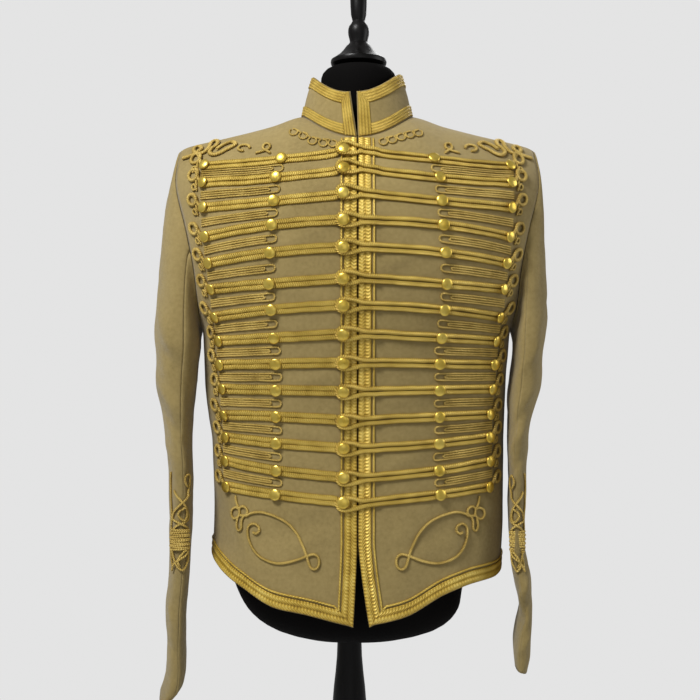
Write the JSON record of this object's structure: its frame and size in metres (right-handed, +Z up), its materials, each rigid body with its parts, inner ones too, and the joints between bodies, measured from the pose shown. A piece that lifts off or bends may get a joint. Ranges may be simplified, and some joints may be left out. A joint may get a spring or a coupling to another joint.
{
  "type": "hussar jacket on a dress form and turned stand",
  "caption": "Waist-length wool hussar jacket with stand collar, gold frogging and domed buttons, worn by a limbless black dress form on a turned stand with a round foot.",
  "frame": {"origin": "on the floor, under the middle of the whole object's box", "axes": "+Z up, the jacket's front faces -Y, +X is the wearer's left"},
  "size_m": [0.5185, 0.304, 1.66],
  "materials": {
    "wool_cloth": "khaki wool twill, matt",
    "gold_braid": "gold wire braid",
    "gilt_button": "polished gilt",
    "form_cover": "black jersey",
    "black_wood": "black, satin"
  },
  "bodies": {
    "root": {"back_left": "wool_cloth", "back_right": "wool_cloth", "collar": "wool_cloth", "collar_lace_bottom": "gold_braid", "collar_lace_front_left": "gold_braid", "collar_lace_front_right": "gold_braid", "collar_lace_top": "gold_braid", "cuff_knot_left": "gold_braid", "cuff_knot_right": "gold_braid", "finial": "black_wood", "form_neck": "form_cover", "form_torso": "form_cover", "frog_left_01": "gold_braid", "frog_left_02": "gold_braid", "frog_left_03": "gold_braid", "frog_left_04": "gold_braid", "frog_left_05": "gold_braid", "frog_left_06": "gold_braid", "frog_left_07": "gold_braid", "frog_left_08": "gold_braid", "frog_left_09": "gold_braid", "frog_left_10": "gold_braid", "frog_left_11": "gold_braid", "frog_left_12": "gold_braid", "frog_left_13": "gold_braid", "frog_left_14": "gold_braid", "frog_right_01": "gold_braid", "frog_right_02": "gold_braid", "frog_right_03": "gold_braid", "frog_right_04": "gold_braid", "frog_right_05": "gold_braid", "frog_right_06": "gold_braid", "frog_right_07": "gold_braid", "frog_right_08": "gold_braid", "frog_right_09": "gold_braid", "frog_right_10": "gold_braid", "frog_right_11": "gold_braid", "frog_right_12": "gold_braid", "frog_right_13": "gold_braid", "frog_right_14": "gold_braid", "front_lace_left": "gold_braid", "front_lace_right": "gold_braid", "front_left": "wool_cloth", "front_right": "wool_cloth", "hem_lace_back_left": "gold_braid", "hem_lace_back_right": "gold_braid", "pole": "black_wood", "shoulder_scroll_left": "gold_braid", "shoulder_scroll_right": "gold_braid", "side_braid_left": "gold_braid", "side_braid_right": "gold_braid", "skirt_loop_left": "gold_braid", "skirt_loop_right": "gold_braid", "sleeve_left_under": "wool_cloth", "sleeve_left_upper": "wool_cloth", "sleeve_right_under": "wool_cloth", "sleeve_right_upper": "wool_cloth", "stand_base": "black_wood"}
  },
  "joints": []
}
